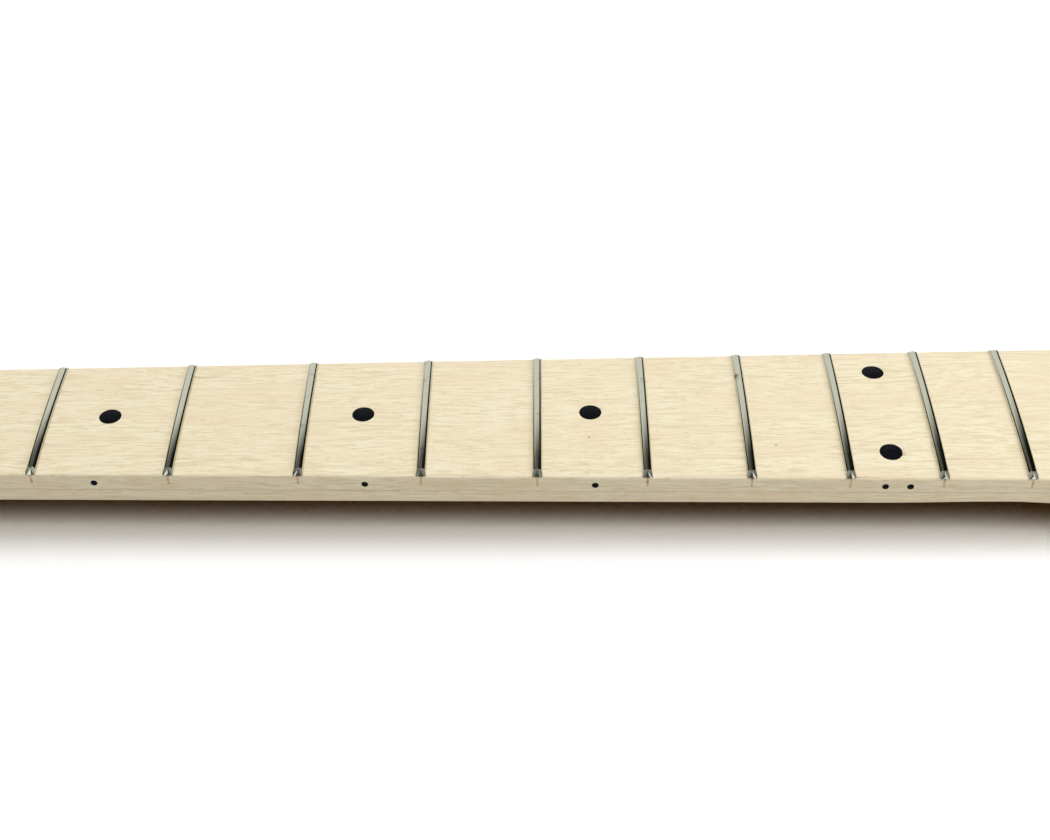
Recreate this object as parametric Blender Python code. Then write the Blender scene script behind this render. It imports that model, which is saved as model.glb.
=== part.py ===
"""A bass guitar neck for four strings: a one-piece maple shaft with its headstock and bolt-on heel,
a glued maple fretboard with twenty frets and black dots, a nut, and a two-way truss rod.

X runs along the neck towards its heel end, Y towards the treble side and Z out of the fretboard.
The origin is on the back of the heel, at the middle of its four screw holes. Metres throughout."""

from math import asin, cos, pi, radians, sin, sqrt, tan

import bmesh
import bpy
from mathutils import Vector
from mathutils.geometry import interpolate_bezier

# String length, frets and the neck's width
SCALE_LENGTH = 0.8636
FRET_COUNT = 20
PAST_LAST_FRET = 0.0130
NUT_WIDTH = 0.0413
HEEL_WIDTH = 0.0625
END_CORNER = 0.0030

# Fretboard
BOARD_RADIUS = 0.3048
BOARD_THICKNESS = 0.00635
BOARD_PAST_NUT = 0.0075
BOARD_EDGE_ROUND = 0.0008
GLUE_LINE = 0.00005

# Back of the shaft, its thicknesses taken over the board
HEEL_THICKNESS = 0.0254
THICKNESS_AT_NUT = 0.0197
THICKNESS_AT_12TH = 0.0212
BACK_ROUNDNESS = 2.0
SIDE_LAND = 0.00002
WAIST_PLACE = 0.4500
WAIST_DEPTH = 0.0012
WAIST_LENGTH = 0.0350
HEEL_CURVE_RADIUS = 0.3000
HEEL_SIDE_RISE = 0.0990
HEAD_CURVE_RADIUS = 0.0900
HEAD_SIDE_CURVE = 0.0120
CARVE_RUNOUT = 0.0800

# Headstock
HEADSTOCK_THICKNESS = 0.0143
COVE_RADIUS = 0.0150
FIRST_TUNER = 0.0550
TUNER_SPACING = 0.0440
TUNER_HOLE = 0.0175
TUNER_TO_EDGE = 0.0200
TUNER_POST_RADIUS = 0.0064
SHOULDER_LENGTH = 0.0120
SHOULDER_ROUND = 0.0150
THROAT_ROUND = 0.0160
TREBLE_SWEEP = 0.0550
EDGE_EASING = 0.0010

# Heel screw holes
SCREW_SPACING_LONG = 0.0508
SCREW_SPACING_WIDE = 0.0381
SCREW_MIDDLE_FROM_END = 0.0429
SCREW_HOLE = 0.0033
SCREW_HOLE_DEPTH = 0.0160

# Frets and their slots
CROWN_WIDTH = 0.0028
CROWN_HEIGHT = 0.0013
FRET_END_INSET = 0.0001
FRET_END_BEVEL = radians(48)
FRET_CORNER_FILED = 0.0002
FRET_CORNER_TURN = radians(40)
TANG_WIDTH = 0.0005
TANG_DEPTH = 0.0022
TANG_NIP = 0.0018
SLOT_DEPTH = 0.0030
SLOT_CLEARANCE = 0.00005
FRET_SEAT = 0.00005

# Nut and string notches, bass string first
NUT_THICKNESS = 0.0033
NUT_SLOT_DEPTH = 0.0030
NUT_ABOVE_BOARD = 0.0030
NUT_BACK_FALL = 0.0012
NUT_END_EASE = 0.0005
NUT_CLEARANCE = 0.00005
STRING_SPREAD = 0.0330
STRING_GAUGES = (0.00267, 0.00216, 0.00165, 0.00114)
NOTCH_ABOVE_FRETS = 0.0005

# Position dots, by the fret behind which they lie
SINGLE_DOTS = (3, 5, 7, 9, 15, 17, 19)
DOUBLE_DOT = 12
FACE_DOT = 0.00635
FACE_DOT_DEPTH = 0.0020
FACE_DOT_PAIR = 0.0352
FACE_DOT_SHIFT = {5: -0.0010, 7: -0.0006, 12: -0.0005}
SIDE_DOT = 0.0019
SIDE_DOT_DEPTH = 0.0040
SIDE_DOT_PAIR = 0.0069
SIDE_DOT_BELOW_EDGE = 0.0029
SIDE_DOT_SHIFT = {5: -0.0018, 7: 0.0014, 9: 0.0008, 12: 0.0003}
DOT_CLEARANCE = 0.00005

# Two-way truss rod: a turning rod under a fixed bar, held by a block at each end
ROD_DIAMETER = 0.00476
ROD_CLEARANCE = 0.00008
ROD_BEFORE_HEEL_END = 0.0400
BAR_THICKNESS = 0.0030
BAR_TO_ROD = 0.0003
BLOCK_WIDTH = 0.00635
BLOCK_LENGTH = 0.0140
BLOCK_WALL = 0.0009
CHANNEL_CLEARANCE = 0.0001
ADJUSTER_DIAMETER = 0.0090
ADJUSTER_LENGTH = 0.0120
ADJUSTER_BEHIND_NUT = 0.0060
SOCKET_WIDTH = 0.0050
SOCKET_DEPTH = 0.0070
ACCESS_CLEARANCE = 0.0009
ACCESS_LENGTH = 0.0280

# How finely curves are divided
ACROSS_STEPS = 8
CROWN_STEPS = 6
EDGE_STEPS = 3
BACK_STEPS = 24
CURVE_STEPS = 8
HEAD_SECTIONS = 16
SHAFT_SECTIONS = 6
HEEL_SECTIONS = 20
TUNER_HOLE_SIDES = 36
LARGE_ROUND_SIDES = 24
SMALL_ROUND_SIDES = 12
PAST_FACE = 0.0020

# Lengths and heights that follow from the sizes above
LAST_FRET = SCALE_LENGTH * (1 - 2 ** (-FRET_COUNT / 12))
TWELFTH_FRET = SCALE_LENGTH / 2
NECK_END = LAST_FRET + PAST_LAST_FRET
HEADSTOCK_REACH = FIRST_TUNER + (len(STRING_GAUGES) - 1) * TUNER_SPACING + TUNER_TO_EDGE
ORIGIN_FROM_NUT = NECK_END - SCREW_MIDDLE_FROM_END
BOARD_TOP = HEEL_THICKNESS
GLUE_PLANE = HEEL_THICKNESS - BOARD_THICKNESS
BAR_TOP = GLUE_PLANE - CHANNEL_CLEARANCE
BAR_BOTTOM = BAR_TOP - BAR_THICKNESS
ROD_AXIS = BAR_BOTTOM - BAR_TO_ROD - ROD_DIAMETER / 2
BLOCK_BOTTOM = ROD_AXIS - ROD_DIAMETER / 2 - BLOCK_WALL
FIRST_BLOCK = ROD_CLEARANCE - ADJUSTER_BEHIND_NUT
ROD_END = NECK_END - ROD_BEFORE_HEEL_END


def along(from_nut):
    """X of a place given by its distance from the nut."""
    return from_nut - ORIGIN_FROM_NUT


def half_width(from_nut):
    taper = (HEEL_WIDTH - NUT_WIDTH) / 2 / NECK_END
    return NUT_WIDTH / 2 + taper * from_nut


def board_height(y):
    """Z of the fretboard's face, which is part of a cylinder along the neck."""
    return BOARD_TOP - BOARD_RADIUS + sqrt(BOARD_RADIUS**2 - y**2)


def fret_place(number):
    return SCALE_LENGTH * (1 - 2 ** (-number / 12))


def dot_place(fret, shift):
    return (fret_place(fret - 1) + fret_place(fret)) / 2 + shift.get(fret, 0)


def across(half):
    """Y of the lines that divide the board's face, between the rounded edges."""
    flat = half - BOARD_EDGE_ROUND
    return [flat * (2 * step / ACROSS_STEPS - 1) for step in range(ACROSS_STEPS + 1)]


def arc(radius, start, end, steps):
    """Points of an arc about nothing, as pairs, from one angle to another."""
    angles = [start + (end - start) * step / steps for step in range(steps + 1)]
    return [(radius * cos(angle), radius * sin(angle)) for angle in angles]


def material(name, colour, roughness, metallic=0.0):
    finish = bpy.data.materials.new(name)
    finish.use_nodes = True
    shader = finish.node_tree.nodes["Principled BSDF"]
    shader.inputs["Base Color"].default_value = (*colour, 1.0)
    shader.inputs["Roughness"].default_value = roughness
    shader.inputs["Metallic"].default_value = metallic
    finish.diffuse_color = (*colour, 1.0)
    return finish


def add_loft(bm, rings):
    """Adds a closed body through rings of equally many points, with flat ends."""
    loops = [[bm.verts.new(point) for point in ring] for ring in rings]
    faces = [bm.faces.new(loops[0]), bm.faces.new(loops[-1])]
    for first, second in zip(loops, loops[1:]):
        for side in range(len(first)):
            corners = (first[side - 1], first[side], second[side], second[side - 1])
            faces.append(bm.faces.new(corners))
    bmesh.ops.recalc_face_normals(bm, faces=faces)


def add_round(bm, centre, axis, radii, sides):
    """Adds a turned body: a pair of distance and radius for each ring along its axis."""
    axis = Vector(axis)
    first = axis.orthogonal().normalized()
    second = axis.cross(first)
    turn = arc(1, 0, 2 * pi * (sides - 1) / sides, sides - 1)
    rings = []
    for distance, radius in radii:
        middle = Vector(centre) + axis * distance
        rings.append([middle + radius * (u * first + v * second) for u, v in turn])
    add_loft(bm, rings)


def add_block(bm, low, high):
    """Adds a box between two corners."""
    corners = [(low[1], low[2]), (high[1], low[2]), (high[1], high[2]), (low[1], high[2])]
    add_loft(bm, [[(x, y, z) for y, z in corners] for x in (low[0], high[0])])


def shade(mesh):
    mesh.shade_smooth()
    mesh.set_sharp_from_angle(angle=radians(30))


def new_object(name, bm, finish, location=(0, 0, 0), parent=None):
    """Makes an object of a mesh whose points are measured from the object's own location."""
    mesh = bpy.data.meshes.new(name)
    bmesh.ops.remove_doubles(bm, verts=bm.verts, dist=1e-7)
    bm.to_mesh(mesh)
    bm.free()
    shade(mesh)
    mesh.materials.append(finish)
    piece = bpy.data.objects.new(name, mesh)
    piece.location = location
    piece.parent = parent
    bpy.context.collection.objects.link(piece)
    return piece


def cut_with(piece, name, bm, operation="DIFFERENCE"):
    """Cuts a piece with a hidden cutter, measured from the piece, or keeps what the two share."""
    cutter = new_object(name, bm, piece.data.materials[0], parent=piece)
    cutter.hide_render = True
    cutter.display_type = "WIRE"
    boolean = piece.modifiers.new(name, "BOOLEAN")
    boolean.operation = operation
    boolean.solver = "EXACT"
    boolean.object = cutter


def apply_cuts(piece):
    """Makes the cuts part of the piece's mesh, whose own edges can then be shaded sharp."""
    graph = bpy.context.evaluated_depsgraph_get()
    uncut = piece.data
    piece.data = bpy.data.meshes.new_from_object(piece.evaluated_get(graph))
    piece.data.name = piece.name
    piece.modifiers.clear()
    shade(piece.data)
    for cutter in piece.children:
        bpy.data.objects.remove(cutter)
    bpy.data.meshes.remove(uncut)


def tuner_places():
    """Middle of each tuner hole: its string runs straight from the nut past the post's inner side."""
    places = []
    for string in range(len(STRING_GAUGES)):
        y = string_y(string) - TUNER_POST_RADIUS
        places.append(Vector((along(-FIRST_TUNER - string * TUNER_SPACING), y)))
    return places


def string_y(string):
    return STRING_SPREAD * (string / (len(STRING_GAUGES) - 1) - 0.5)


def heel_corner(side):
    """Points round a corner of the heel end, seen from above, from the side to the end face."""
    middle_x = along(NECK_END - END_CORNER)
    middle_y = half_width(NECK_END - END_CORNER) - END_CORNER
    turn = arc(END_CORNER, pi / 2, 0, CURVE_STEPS // 2)
    return [Vector((middle_x + x, side * (middle_y + y))) for x, y in turn]


def plan_outline():
    """The blank seen from above: heel, tapered shaft and a plain blade-shaped headstock."""
    tuners = tuner_places()
    towards_tip = (tuners[-1] - tuners[0]).normalized()
    outward = Vector((towards_tip.y, -towards_tip.x))
    if outward.y > 0:
        outward = -outward
    throat = -BOARD_PAST_NUT
    bass_throat = Vector((along(throat), -half_width(throat)))
    treble_throat = Vector((along(throat), half_width(throat)))
    shoulder = tuners[0] + outward * TUNER_TO_EDGE - towards_tip * SHOULDER_LENGTH
    tip_start = tuners[-1] - outward * TUNER_TO_EDGE

    treble_edge = interpolate_bezier(
        treble_throat,
        treble_throat - Vector((TREBLE_SWEEP, 0)),
        tip_start - towards_tip * TREBLE_SWEEP,
        tip_start,
        2 * CURVE_STEPS,
    )
    bass_shoulder = interpolate_bezier(
        shoulder,
        shoulder - towards_tip * SHOULDER_ROUND,
        bass_throat - Vector((THROAT_ROUND, 0)),
        bass_throat,
        2 * CURVE_STEPS,
    )
    tip = [
        tuners[-1] - outward * x + towards_tip * y
        for x, y in arc(TUNER_TO_EDGE, 0, pi, 3 * CURVE_STEPS)
    ]
    outline = heel_corner(-1)
    outline += reversed(heel_corner(1))
    outline += [Vector(point[:2]) for point in treble_edge]
    outline += tip[1:]
    outline += [Vector(point[:2]) for point in bass_shoulder]
    return outline


def shaft_depth(from_nut):
    """How far the middle of the back lies below the glue plane, before the heel and headstock curves."""
    slope = (THICKNESS_AT_12TH - THICKNESS_AT_NUT) / TWELFTH_FRET
    depth = THICKNESS_AT_NUT + slope * from_nut - BOARD_THICKNESS
    from_waist = (from_nut - WAIST_PLACE) / WAIST_LENGTH
    if abs(from_waist) < 1:
        depth -= WAIST_DEPTH * cos(from_waist * pi / 2) ** 2
    return depth


def carve_ring(from_nut):
    """One section of the form that the back is carved to, which opens out where the carving ends."""
    past_waist = min(max(0, from_nut - WAIST_PLACE), CARVE_RUNOUT)
    past_nut = min(max(0, -from_nut), CARVE_RUNOUT)
    half = half_width(from_nut) + SIDE_LAND
    half += past_waist**3 / HEEL_SIDE_RISE**2 + past_nut**2 / (2 * HEAD_SIDE_CURVE)
    depth = shaft_depth(from_nut)
    depth += past_waist**2 / (2 * HEEL_CURVE_RADIUS) + past_nut**2 / (2 * HEAD_CURVE_RADIUS)
    power = 2 / BACK_ROUNDNESS
    ring = []
    for u, v in arc(1, 0, pi, BACK_STEPS):
        y = half * abs(u) ** power * (1 if u > 0 else -1)
        ring.append((along(from_nut), y, GLUE_PLANE - depth * abs(v) ** power))
    return ring


def carve_places():
    """Distances from the nut at which the back's sections stand, closer where the form changes."""
    waist_start = WAIST_PLACE - WAIST_LENGTH
    heel_length = WAIST_LENGTH + CARVE_RUNOUT
    head = [-CARVE_RUNOUT * (1 - step / HEAD_SECTIONS) for step in range(HEAD_SECTIONS)]
    shaft = [waist_start * step / SHAFT_SECTIONS for step in range(SHAFT_SECTIONS)]
    heel = [waist_start + heel_length * step / HEEL_SECTIONS for step in range(HEEL_SECTIONS + 1)]
    return [-2 * HEADSTOCK_REACH, *head, *shaft, *heel, NECK_END + PAST_FACE]


def add_cove(bm):
    """What is cut away above the headstock: a cove behind the nut, and the blank over its face."""
    above = BOARD_TOP + PAST_FACE
    middle_z = HEADSTOCK_THICKNESS + COVE_RADIUS
    reach = sqrt(COVE_RADIUS**2 - (middle_z - BOARD_TOP) ** 2)
    middle_x = along(-BOARD_PAST_NUT) - reach
    top_angle = asin((above - middle_z) / COVE_RADIUS)
    outline = [(along(-2 * HEADSTOCK_REACH), above), (along(-2 * HEADSTOCK_REACH), HEADSTOCK_THICKNESS)]
    for x, z in arc(COVE_RADIUS, -pi / 2, top_angle, CURVE_STEPS):
        outline.append((middle_x + x, middle_z + z))
    add_loft(bm, [[(x, y, z) for x, z in outline] for y in (-HEADSTOCK_REACH, HEADSTOCK_REACH)])


def add_access_groove(bm):
    """The round-bottomed groove, with a round nose, by which a key reaches the adjuster."""
    radius = ADJUSTER_DIAMETER / 2 + ACCESS_CLEARANCE
    nose_middle = -ADJUSTER_BEHIND_NUT - ADJUSTER_LENGTH - ACCESS_LENGTH
    sections = [(CHANNEL_CLEARANCE - ADJUSTER_BEHIND_NUT, radius)]
    for half, nose in arc(radius, 0, radians(80), CURVE_STEPS // 2):
        sections.append((nose_middle - nose, half))
    rings = []
    for from_nut, half in sections:
        x = along(from_nut)
        trough = [(x, y, ROD_AXIS + z) for y, z in arc(half, 0, -pi, CURVE_STEPS)]
        rings.append([(x, half, BOARD_TOP), *trough, (x, -half, BOARD_TOP)])
    add_loft(bm, rings)


def add_rod_channel(bm):
    """The slot routed for the truss rod, as deep as its blocks."""
    half = BLOCK_WIDTH / 2 + CHANNEL_CLEARANCE
    start = along(-ADJUSTER_BEHIND_NUT) - CHANNEL_CLEARANCE
    stop = along(ROD_END) + CHANNEL_CLEARANCE
    low = (start, -half, BLOCK_BOTTOM - CHANNEL_CLEARANCE)
    add_block(bm, low, (stop, half, GLUE_PLANE + PAST_FACE))


def add_drilled_holes(bm):
    """Tuner holes right through the headstock, and blind holes for the heel's wood screws."""
    through = [(z, TUNER_HOLE / 2) for z in (-PAST_FACE, HEADSTOCK_THICKNESS + PAST_FACE)]
    for place in tuner_places():
        add_round(bm, (place.x, place.y, 0), (0, 0, 1), through, TUNER_HOLE_SIDES)
    blind = [(z, SCREW_HOLE / 2) for z in (-PAST_FACE, SCREW_HOLE_DEPTH)]
    for x in (-SCREW_SPACING_LONG / 2, SCREW_SPACING_LONG / 2):
        for y in (-SCREW_SPACING_WIDE / 2, SCREW_SPACING_WIDE / 2):
            add_round(bm, (x, y, 0), (0, 0, 1), blind, SMALL_ROUND_SIDES)


def make_shaft(finish, neck):
    """Shaft, headstock and heel from one blank, sawn to its outline, coved, carved and drilled."""
    outline = plan_outline()
    blank = bmesh.new()
    add_loft(blank, [[(point.x, point.y, z) for point in outline] for z in (0, BOARD_TOP)])
    shaft = new_object("neck_shaft", blank, finish, parent=neck)

    cove = bmesh.new()
    add_cove(cove)
    cut_with(shaft, "headstock_face_cutter", cove)

    easing = shaft.modifiers.new("eased_edges", "BEVEL")
    easing.width = EDGE_EASING
    easing.segments = 2
    easing.use_clamp_overlap = False
    easing.limit_method = "ANGLE"
    easing.angle_limit = radians(50)

    carve = bmesh.new()
    add_loft(carve, [carve_ring(place) for place in carve_places()])
    cut_with(shaft, "back_form", carve, "INTERSECT")

    for name, add_cutter in (
        ("rod_channel_cutter", add_rod_channel),
        ("access_groove_cutter", add_access_groove),
        ("drill_cutter", add_drilled_holes),
    ):
        cutter = bmesh.new()
        add_cutter(cutter)
        cut_with(shaft, name, cutter)
    apply_cuts(shaft)


def board_ring(from_nut, half):
    """One section of the fretboard: flat glued face, rounded upper edges and the arched face."""
    edge = half - BOARD_EDGE_ROUND
    round_middle = board_height(edge) - BOARD_EDGE_ROUND
    bass = [(-edge - y, round_middle + z) for y, z in arc(BOARD_EDGE_ROUND, 0, pi / 2, EDGE_STEPS)]
    face = [(y, board_height(y)) for y in across(half)[1:-1]]
    treble = [(edge + y, round_middle + z) for y, z in arc(BOARD_EDGE_ROUND, pi / 2, 0, EDGE_STEPS)]
    bottom = GLUE_PLANE + GLUE_LINE
    section = [(-half, bottom), *bass, *face, *treble, (half, bottom)]
    return [(along(from_nut), y, z) for y, z in section]


def add_slots(bm):
    """Saw cuts for the frets, whose floors follow the board's arch, and the flat slot for the nut."""
    above = BOARD_TOP + PAST_FACE
    thickness = TANG_WIDTH + 2 * SLOT_CLEARANCE
    for number in range(1, FRET_COUNT + 1):
        half = half_width(fret_place(number))
        outer = half + PAST_FACE
        floor = [(y, board_height(y) - SLOT_DEPTH) for y in (-outer, *across(half)[1:-1], outer)]
        section = [*floor, (outer, above), (-outer, above)]
        middle = along(fret_place(number))
        ends = (middle - thickness / 2, middle + thickness / 2)
        add_loft(bm, [[(x, y, z) for y, z in section] for x in ends])
    low = (along(-NUT_THICKNESS - 2 * NUT_CLEARANCE), -NUT_WIDTH, BOARD_TOP - NUT_SLOT_DEPTH)
    add_block(bm, low, (along(0), NUT_WIDTH, above))


def face_dots():
    """Number in its group, distance from the nut and Y of every dot on the board's face."""
    places = [(f"{fret:02d}", dot_place(fret, FACE_DOT_SHIFT), 0) for fret in SINGLE_DOTS]
    middle = dot_place(DOUBLE_DOT, FACE_DOT_SHIFT)
    places.append((f"{DOUBLE_DOT}_bass", middle, -FACE_DOT_PAIR / 2))
    places.append((f"{DOUBLE_DOT}_treble", middle, FACE_DOT_PAIR / 2))
    return places


def side_dots():
    """Number in its group and distance from the nut of every dot on the board's bass side."""
    places = [(f"{fret:02d}", dot_place(fret, SIDE_DOT_SHIFT)) for fret in SINGLE_DOTS]
    middle = dot_place(DOUBLE_DOT, SIDE_DOT_SHIFT)
    places.append((f"{DOUBLE_DOT}_first", middle - SIDE_DOT_PAIR / 2))
    places.append((f"{DOUBLE_DOT}_second", middle + SIDE_DOT_PAIR / 2))
    return places


def side_dot_height(from_nut):
    return board_height(half_width(from_nut)) - SIDE_DOT_BELOW_EDGE


def add_dot_holes(bm):
    """Flat-bottomed holes for the dots, a little wider than the dots themselves."""
    for _, from_nut, y in face_dots():
        floor = board_height(y) - FACE_DOT_DEPTH - DOT_CLEARANCE
        depths = [(z, FACE_DOT / 2 + DOT_CLEARANCE) for z in (floor, BOARD_TOP + PAST_FACE)]
        add_round(bm, (along(from_nut), y, 0), (0, 0, 1), depths, LARGE_ROUND_SIDES)
    for _, from_nut in side_dots():
        side = half_width(from_nut)
        mouth = (along(from_nut), 0, side_dot_height(from_nut))
        radius = SIDE_DOT / 2 + DOT_CLEARANCE
        depths = [(side + PAST_FACE, radius), (side - SIDE_DOT_DEPTH - DOT_CLEARANCE, radius)]
        add_round(bm, mouth, (0, -1, 0), depths, SMALL_ROUND_SIDES)


def make_fretboard(finish, neck):
    """A tapered board with an arched face, coved behind the nut and slotted for the frets."""
    frets = [fret_place(number) for number in range(1, FRET_COUNT + 1)]
    places = [-HEADSTOCK_REACH / 4, 0, *frets]
    rings = [board_ring(place, half_width(place)) for place in places]
    for x, y in arc(END_CORNER, pi / 2, 0, CURVE_STEPS // 2):
        place = NECK_END - END_CORNER + x
        rings.append(board_ring(place, half_width(NECK_END - END_CORNER) - END_CORNER + y))
    blank = bmesh.new()
    add_loft(blank, rings)
    board = new_object("fretboard", blank, finish, parent=neck)
    for name, add_cutter in (
        ("cove_cutter", add_cove),
        ("slot_saw", add_slots),
        ("dot_drill", add_dot_holes),
    ):
        cutter = bmesh.new()
        add_cutter(cutter)
        cut_with(board, name, cutter)
    apply_cuts(board)


def fret_ring(y, half, tang):
    """One section of a fret across the board: its crown, and the tang below or none near the ends."""
    crown = [(CROWN_WIDTH / 2 * u, CROWN_HEIGHT * v) for u, v in arc(1, 0, pi, CROWN_STEPS)]
    inner = TANG_WIDTH / 2
    section = [*crown, (-inner, 0), (-inner, -tang), (inner, -tang), (inner, 0)]
    end = half - FRET_END_INSET
    ring = []
    for x, z in section:
        reach = end - max(z, 0) * tan(FRET_END_BEVEL)
        place = min(max(y, -reach), reach)
        ring.append((x, place, board_height(place) + FRET_SEAT + z))
    return ring


def file_corners(bm, end):
    """Files the corners off both ends of a fret, by planes that meet at the top of its crown."""
    top_y = end - CROWN_HEIGHT * tan(FRET_END_BEVEL)
    top = Vector((0, top_y, board_height(top_y) + FRET_SEAT + CROWN_HEIGHT))
    filed_x = CROWN_WIDTH / 2 - FRET_CORNER_FILED
    corner = Vector((filed_x, end, board_height(end) + FRET_SEAT))
    level = Vector((cos(FRET_CORNER_TURN), -sin(FRET_CORNER_TURN), 0))
    outward = level.cross(corner - top).normalized()
    for turn, side in ((1, 1), (1, -1), (-1, 1), (-1, -1)):
        mirror = Vector((turn, side, 1))
        bmesh.ops.bisect_plane(
            bm,
            geom=[*bm.verts, *bm.edges, *bm.faces],
            dist=1e-7,
            plane_co=top * mirror,
            plane_no=outward * mirror,
            clear_outer=True,
        )
        bmesh.ops.holes_fill(bm, edges=[edge for edge in bm.edges if edge.is_boundary])


def make_frets(finish, neck):
    """Twenty frets of one section, each bent to the board's arch and cut to its width there."""
    for number in range(1, FRET_COUNT + 1):
        half = half_width(fret_place(number))
        nip = half - TANG_NIP
        inner = [y for y in across(half) if abs(y) < nip - CROWN_WIDTH]
        depth = TANG_DEPTH + FRET_SEAT
        rings = [fret_ring(-half, half, 0), fret_ring(-nip, half, 0)]
        rings += [fret_ring(y, half, depth) for y in (-nip, *inner, nip)]
        rings += [fret_ring(nip, half, 0), fret_ring(half, half, 0)]
        bm = bmesh.new()
        add_loft(bm, rings)
        file_corners(bm, half - FRET_END_INSET)
        place = Vector((along(fret_place(number)), 0, 0))
        new_object(f"fret_{number:02d}", bm, finish, place, neck)


def make_dots(finish, neck):
    """Black plastic dots, flush with the board's arched face and with its bass side."""
    for name, from_nut, y in face_dots():
        bm = bmesh.new()
        depths = ((board_height(y) - FACE_DOT_DEPTH, FACE_DOT / 2), (BOARD_TOP, FACE_DOT / 2))
        add_round(bm, (0, 0, 0), (0, 0, 1), depths, LARGE_ROUND_SIDES)
        for vertex in bm.verts:
            if vertex.co.z > BOARD_TOP - FACE_DOT_DEPTH / 2:
                vertex.co.z = board_height(y + vertex.co.y)
        new_object(f"face_dot_{name}", bm, finish, (along(from_nut), y, 0), neck)
    for name, from_nut in side_dots():
        bm = bmesh.new()
        depths = ((0, SIDE_DOT / 2), (-SIDE_DOT_DEPTH, SIDE_DOT / 2))
        add_round(bm, (0, 0, 0), (0, -1, 0), depths, SMALL_ROUND_SIDES)
        place = (along(from_nut), -half_width(from_nut), side_dot_height(from_nut))
        new_object(f"side_dot_{name}", bm, finish, place, neck)


def make_nut(finish, neck):
    """A nut blank across the board, its back rounded off, with a round-bottomed notch per string."""
    half = half_width(0) - NUT_CLEARANCE
    floor = BOARD_TOP - NUT_SLOT_DEPTH + NUT_CLEARANCE
    inner = [(y, 0) for y in across(half - NUT_END_EASE)]
    rings = []
    for y, eased in ((-half, NUT_END_EASE), *inner, (half, NUT_END_EASE)):
        top = board_height(y) + NUT_ABOVE_BOARD - eased
        profile = [(0, floor), (0, top)]
        for u, v in arc(1, pi / 2, 0, CURVE_STEPS // 2):
            profile.append((-NUT_THICKNESS / 2 * (1 + u), top - NUT_BACK_FALL * (1 - v)))
        profile.append((-NUT_THICKNESS, floor))
        rings.append([(x, y, z) for x, z in profile])
    bm = bmesh.new()
    add_loft(bm, rings)
    nut = new_object("nut", bm, finish, (along(-NUT_CLEARANCE), 0, 0), neck)

    notches = bmesh.new()
    for string, gauge in enumerate(STRING_GAUGES):
        y = string_y(string)
        middle_z = board_height(y) + CROWN_HEIGHT + NOTCH_ABOVE_FRETS + gauge / 2
        bottom = [(y + u, middle_z + v) for u, v in arc(gauge / 2, 0, -pi, CURVE_STEPS)]
        above = BOARD_TOP + 2 * NUT_ABOVE_BOARD
        section = [(y + gauge / 2, above), *bottom, (y - gauge / 2, above)]
        ends = (-NUT_THICKNESS - PAST_FACE, PAST_FACE)
        add_loft(notches, [[(x, u, v) for u, v in section] for x in ends])
    cut_with(nut, "notch_file", notches)
    apply_cuts(nut)


def make_rod_frame(steel, brass, neck):
    """The parts of the truss rod that stay still: the flat bar and a bored block under each end."""
    bar_half = BLOCK_WIDTH / 2
    bar = bmesh.new()
    length = ROD_END - FIRST_BLOCK
    add_block(bar, (0, -bar_half, BAR_BOTTOM), (length, bar_half, BAR_TOP))
    new_object("truss_rod_bar", bar, steel, (along(FIRST_BLOCK), 0, 0), neck)

    bore = [(x, ROD_DIAMETER / 2 + ROD_CLEARANCE) for x in (-PAST_FACE, BLOCK_LENGTH + PAST_FACE)]
    starts = {"headstock": FIRST_BLOCK, "heel": ROD_END - BLOCK_LENGTH}
    for end, start in starts.items():
        block = bmesh.new()
        low = (0, -bar_half, BLOCK_BOTTOM)
        add_block(block, low, (BLOCK_LENGTH, bar_half, BAR_BOTTOM - GLUE_LINE))
        place = Vector((along(start), 0, 0))
        piece = new_object(f"truss_rod_block_{end}", block, brass, place, neck)
        drill = bmesh.new()
        add_round(drill, (0, 0, ROD_AXIS), (1, 0, 0), bore, LARGE_ROUND_SIDES)
        cut_with(piece, f"{end}_block_drill", drill)
        apply_cuts(piece)


def make_turning_rod(steel, neck):
    """The rod and its adjuster, which turn together in the blocks."""
    turning = bpy.data.objects.new("truss_rod_axis", None)
    turning.location = (along(-ADJUSTER_BEHIND_NUT), 0, ROD_AXIS)
    turning.parent = neck
    bpy.context.collection.objects.link(turning)

    rod = bmesh.new()
    radius = ROD_DIAMETER / 2
    lengths = ((GLUE_LINE, radius), (ROD_END + ADJUSTER_BEHIND_NUT, radius))
    add_round(rod, (0, 0, 0), (1, 0, 0), lengths, LARGE_ROUND_SIDES)
    new_object("truss_rod", rod, steel, parent=turning)

    head = bmesh.new()
    outer = ADJUSTER_DIAMETER / 2
    ease = ADJUSTER_DIAMETER / 18
    outside = ((0, outer), (ease - ADJUSTER_LENGTH, outer), (-ADJUSTER_LENGTH, outer - ease))
    add_round(head, (0, 0, 0), (1, 0, 0), outside, LARGE_ROUND_SIDES)
    adjuster = new_object("truss_rod_adjuster", head, steel, parent=turning)

    socket = bmesh.new()
    corner = SOCKET_WIDTH / 2 / cos(pi / 6)
    depths = ((SOCKET_DEPTH - ADJUSTER_LENGTH, corner), (-ADJUSTER_LENGTH - PAST_FACE, corner))
    add_round(socket, (0, 0, 0), (1, 0, 0), depths, 6)
    cut_with(adjuster, "hex_broach", socket)
    apply_cuts(adjuster)


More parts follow.
